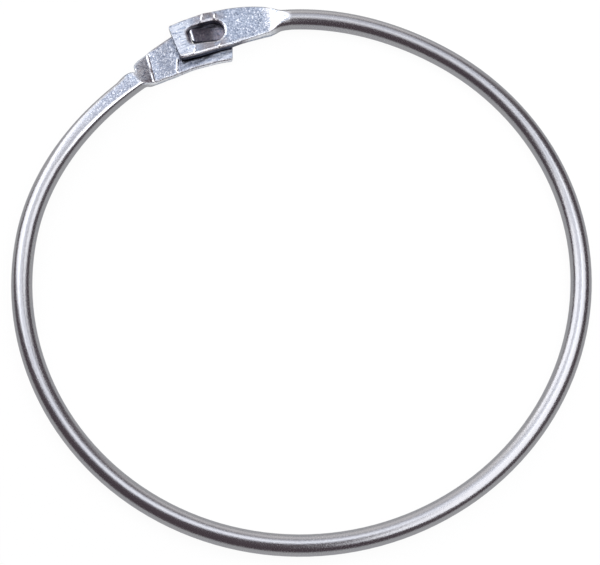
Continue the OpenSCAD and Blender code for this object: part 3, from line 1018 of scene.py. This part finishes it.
def plated_wire():
    """Bright zinc plate on drawn wire, over the skin of the forged ends, worn in places, with painted
    glints, painted light and painted shade.
    """
    material = bpy.data.materials.new("plated_wire")
    m = Nodes(material)
    lay = m.point_value("lay", "Vector")
    forged, worn, grime, scuffed, pale, stained = (m.point_value(name) for name in NOTES)

    draw_lines = m.noise(lay, 5.0, 3.0, 0.6, stretch=(0.02, 1, 1))
    beads = m.noise(lay, 2.6, 2.0, 0.6, stretch=(0.45, 1, 1))
    frost = m.noise(lay, 4.5, 2.0, 0.6, stretch=(0.7, 1, 1))
    clouds = m.noise(lay, 0.12, 3.0)
    pits = m.noise(lay, 1.6, 4.0, 0.66)
    patches = m.noise(lay, 0.55, 3.0, 0.6)

    zinc = m.blend(clouds, ZINC_DARK, ZINC_PALE)
    colour = m.blend(forged, zinc, forged_skin(m, lay, pits, patches, scuffed, pale, stained))
    # Painted glints, with real wear: the colour brightens on worn edges, creases, the rim of the slot and
    # the tongue's tip.
    bright = m.times(worn, m.span(pits, 0.38, 0.5, 0.45, 0.95))
    colour = m.blend(bright, colour, RUBBED_AND_GLINT)
    # Painted shade: darker colour in the slot, down its walls and under the lapping edges; weakly, a dull
    # tone on the pressed faces.
    dull_shade_tone = m.blend(m.span(pits, 0.4, 0.6), DULL_SHADE_DARK, DULL_SHADE_MAROON)
    shade_and_dull_colour = m.blend(m.span(grime, 0.82, 1.0), dull_shade_tone, DEEP_SHADE)
    colour = m.blend(m.times(grime, 0.9), colour, shade_and_dull_colour)

    wire_rough = m.span(frost, 0.3, 0.7, 0.17, 0.30)
    skin_rough = m.span(pits, 0.25, 0.75, 0.26, 0.44)
    rough = m.between(forged, wire_rough, skin_rough)
    rough = m.between(worn, rough, 0.17)

    normal = m.bump(draw_lines, 0.3, 0.03)
    normal = m.bump(beads, 0.35, 0.05, normal)
    normal = m.bump(frost, 0.45, 0.03, normal)
    normal = m.bump(m.times(pits, forged), 0.6, 0.14, normal)
    shader = m.node("ShaderNodeBsdfPrincipled", {
        "Base Color": colour, "Metallic": 1.0, "Roughness": rough,
        "Specular Tint": GLANCE_TINT, "Normal": normal})
    m.node("ShaderNodeOutputMaterial", {"Surface": shader.outputs[0]})
    return material


# ---------------------------------------------------------------- studio

FLOOR_REACH, FLOOR_BELOW = 4.0, 0.1 * MM
FLOOR_PAPER = (0.9, 0.9, 0.9, 1)
FLOOR_WHITE = 0.95                     # share of the floor that is plain white; the rest takes shadow

# Softboxes: name, centre, the point they face, width and height in metres, and how bright they
# look, where 1 is white
SOFTBOXES = (
    ("top_right", (0.31, -0.08, 0.45), (0.31, -0.08, 0), 0.44, 0.68, 2.95),
    ("overhead", (-0.05, 0.055, 0.40), (-0.05, 0.055, 0), 0.20, 0.19, 1.35),
    ("left_back", (-0.328, 0.262, 0.355), (0, 0, 0), 0.34, 0.38, 3.1),
)
LAMP_COLOUR = (0.97, 0.985, 1.0)

# The room's own light, and its glows: which way each lies, where it starts, where it is full
ROOM_DARK = (0.18, 0.14, 0.16)
BACK_GLOW = ((-0.17, 0.985, 0.0), 0.64, 0.88, (1.3, 1.3, 1.27))
TOP_GLOW = ((-0.139, 0.382, 0.914), 0.87, 0.98, (1.25, 1.32, 1.42))

CAMERA_TILT, CAMERA_TURN = 20.866, -87.997    # degrees off straight down, and round the ring
CAMERA_DISTANCE = 576.6
CAMERA_LENS, CAMERA_FILM = 122.04, 36.0
CAMERA_SHIFT = (-0.0016, -0.0190)
CAMERA_REACH = (0.01, 20)


def floor():
    """Pale floor that shows as white and keeps part of the ring's shadow."""
    mesh = bpy.data.meshes.new("studio_floor")
    r = FLOOR_REACH
    corners = ((-r, -r), (r, -r), (r, r), (-r, r))
    mesh.from_pydata([(x, y, -FLOOR_BELOW) for x, y in corners], [], [(0, 1, 2, 3)])
    material = bpy.data.materials.new("studio_floor")
    m = Nodes(material)
    path = m.node("ShaderNodeLightPath").outputs
    mirrored = m.math("ADD", path["Is Glossy Ray"], path["Is Transmission Ray"])
    seen = m.math("MINIMUM", m.math("ADD", path["Is Camera Ray"], mirrored), 1.0)
    paper = m.node("ShaderNodeBsdfDiffuse", {"Color": FLOOR_PAPER}).outputs[0]
    white = m.node("ShaderNodeEmission", {"Color": (1, 1, 1, 1), "Strength": 1.0}).outputs[0]
    both = m.node("ShaderNodeMixShader", {0: m.times(seen, FLOOR_WHITE), 1: paper, 2: white}).outputs[0]
    m.node("ShaderNodeOutputMaterial", {"Surface": both})
    mesh.materials.append(material)
    placed("studio_floor", mesh)


def softbox(name, centre, aim, width, height, level):
    """Panel of even light."""
    lamp = bpy.data.lights.new(name, "AREA")
    lamp.shape, lamp.size, lamp.size_y = "RECTANGLE", width, height
    lamp.color = LAMP_COLOUR
    lamp.energy = level * pi * width * height
    piece = placed(name, lamp)
    piece.location = centre
    piece.rotation_euler = (Vector(aim) - Vector(centre)).to_track_quat("-Z", "Y").to_euler()
    piece.visible_camera = False


def room():
    """Dim room with a pale wall behind the ring and a soft glow high up at the back."""
    world = bpy.data.worlds.new("room")
    bpy.context.scene.world = world
    m = Nodes(world)
    where = m.node("ShaderNodeTexCoord").outputs["Generated"]
    light = ROOM_DARK
    for towards, start, stop, glow in (BACK_GLOW, TOP_GLOW):
        facing = m.node("ShaderNodeVectorMath", {0: where, 1: towards}, operation="DOT_PRODUCT")
        fade = m.node("ShaderNodeMapRange", {
            "Value": facing.outputs["Value"], "From Min": start, "From Max": stop},
            interpolation_type="SMOOTHSTEP")
        light = m.node("ShaderNodeVectorMath", {0: fade.outputs["Result"], 1: glow, 2: light},
                       operation="MULTIPLY_ADD").outputs["Vector"]
    shine = m.node("ShaderNodeBackground", {"Color": light})
    m.node("ShaderNodeOutputWorld", {"Surface": shine.outputs[0]})


def camera():
    """Camera above and in front of the ring, looking at its middle."""
    tilt, turn = radians(CAMERA_TILT), radians(CAMERA_TURN)
    target = Vector((0, 0, WIRE_R * MM))
    back = Vector((sin(tilt) * cos(turn), sin(tilt) * sin(turn), cos(tilt)))
    right = Vector((0, 1, 0)).cross(back).normalized()
    axes = Matrix((right, back.cross(right), back)).transposed().to_4x4()
    data = bpy.data.cameras.new("camera")
    data.sensor_width, data.lens = CAMERA_FILM, CAMERA_LENS
    data.shift_x, data.shift_y = CAMERA_SHIFT
    data.clip_start, data.clip_end = CAMERA_REACH
    piece = placed("camera", data)
    piece.matrix_world = Matrix.Translation(target + back * CAMERA_DISTANCE * MM) @ axes
    bpy.context.scene.camera = piece


camera()
ring = one_wire(plated_wire())
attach(ring, "root")
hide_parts("wire_ring")

floor()
room()
for box in SOFTBOXES:
    softbox(*box)
bpy.context.scene.view_settings.view_transform = "Standard"
